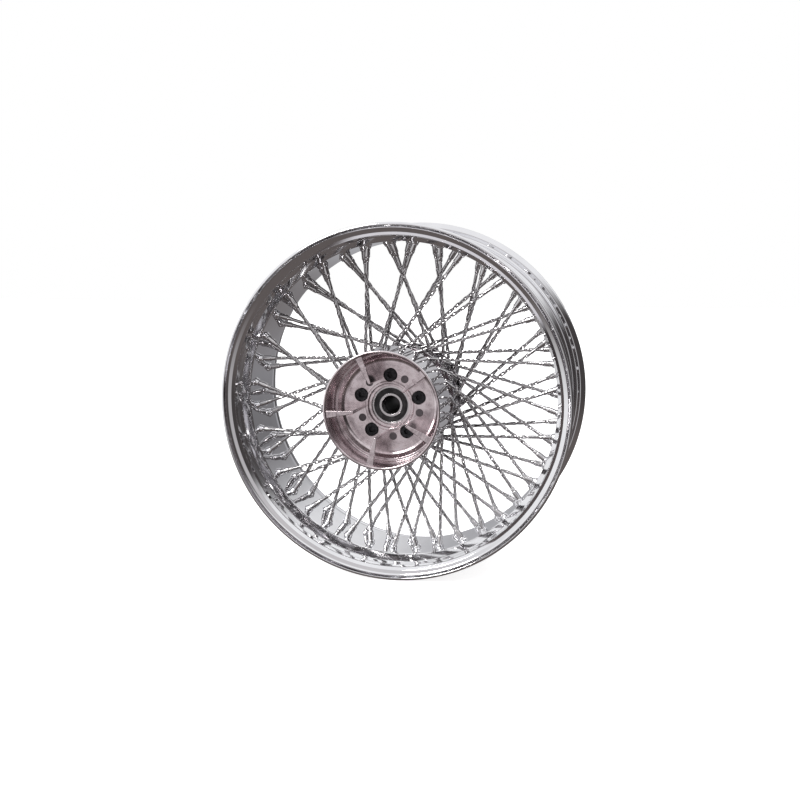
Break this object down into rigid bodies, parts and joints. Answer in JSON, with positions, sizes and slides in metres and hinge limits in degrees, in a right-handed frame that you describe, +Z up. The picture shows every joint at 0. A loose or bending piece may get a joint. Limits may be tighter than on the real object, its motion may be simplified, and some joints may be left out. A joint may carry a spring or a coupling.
{
  "type": "spoked motorcycle wheel",
  "caption": "Wide chromed wire-spoked motorcycle wheel with a drop-centre rim, a ball-bearing hub and a cup-shaped cush-drive drum.",
  "frame": {"origin": "centre of the rim, on the wheel's axis", "axes": "+Y along the wheel's axis towards the brake side, with the drum on -Y; +Z up"},
  "size_m": [0.486, 0.2564, 0.4858],
  "materials": {
    "rim_chrome": "mirror-polished chrome plate on steel",
    "spoke_chrome": "chrome-plated twisted square steel wire",
    "nipple_chrome": "chrome-plated, slightly worn",
    "hub_chrome": "chrome-plated over machined steel",
    "drum_aluminium": "turned and polished, fine turning lines",
    "black_oxide": "black oxide socket-head screws",
    "dowel_steel": "dark ground steel",
    "bearing_steel": "ground bearing steel",
    "ball_steel": "polished bearing balls",
    "cage_steel": "pressed steel",
    "seal_rubber": "moulded nitrile rubber",
    "spacer_steel": "plain drawn steel tube"
  },
  "bodies": {
    "axle_fixed_parts": {"left_bearing_inner_ring": "bearing_steel", "right_bearing_inner_ring": "bearing_steel", "axle_spacer": "spacer_steel"},
    "wheel": {"rim": "rim_chrome", "spokes_drum_side_outer": "spoke_chrome", "spokes_drum_side_inner": "spoke_chrome", "spokes_brake_side_outer": "spoke_chrome", "spokes_brake_side_inner": "spoke_chrome", "nipples_drum_side_outer": "nipple_chrome", "nipples_drum_side_inner": "nipple_chrome", "nipples_brake_side_outer": "nipple_chrome", "nipples_brake_side_inner": "nipple_chrome", "hub_body": "hub_chrome", "cush_drum": "drum_aluminium", "drum_bolts": "black_oxide", "drum_dowels": "dowel_steel", "left_bearing_outer_ring": "bearing_steel", "left_bearing_drum_side_seal": "seal_rubber", "left_bearing_brake_side_seal": "seal_rubber", "right_bearing_outer_ring": "bearing_steel", "right_bearing_drum_side_seal": "seal_rubber", "right_bearing_brake_side_seal": "seal_rubber"},
    "left_ball_set": {"left_bearing_balls": "ball_steel", "left_bearing_cage": "cage_steel"},
    "right_ball_set": {"right_bearing_balls": "ball_steel", "right_bearing_cage": "cage_steel"}
  },
  "joints": [
    {"name": "wheel_spin", "type": "hinge", "parent": "axle_fixed_parts", "child": "wheel", "pos_m": [0, 0, 0], "axis": [0, 1, 0], "continuous": true},
    {"name": "left_ball_set_spin", "type": "hinge", "parent": "axle_fixed_parts", "child": "left_ball_set", "pos_m": [0, 0, 0], "axis": [0, 1, 0], "continuous": true},
    {"name": "right_ball_set_spin", "type": "hinge", "parent": "axle_fixed_parts", "child": "right_ball_set", "pos_m": [0, 0, 0], "axis": [0, 1, 0], "continuous": true}
  ],
  "couplings": [
    {"joint": "left_ball_set_spin", "follows": "wheel_spin", "ratio": 0.6018},
    {"joint": "right_ball_set_spin", "follows": "wheel_spin", "ratio": 0.6018}
  ]
}
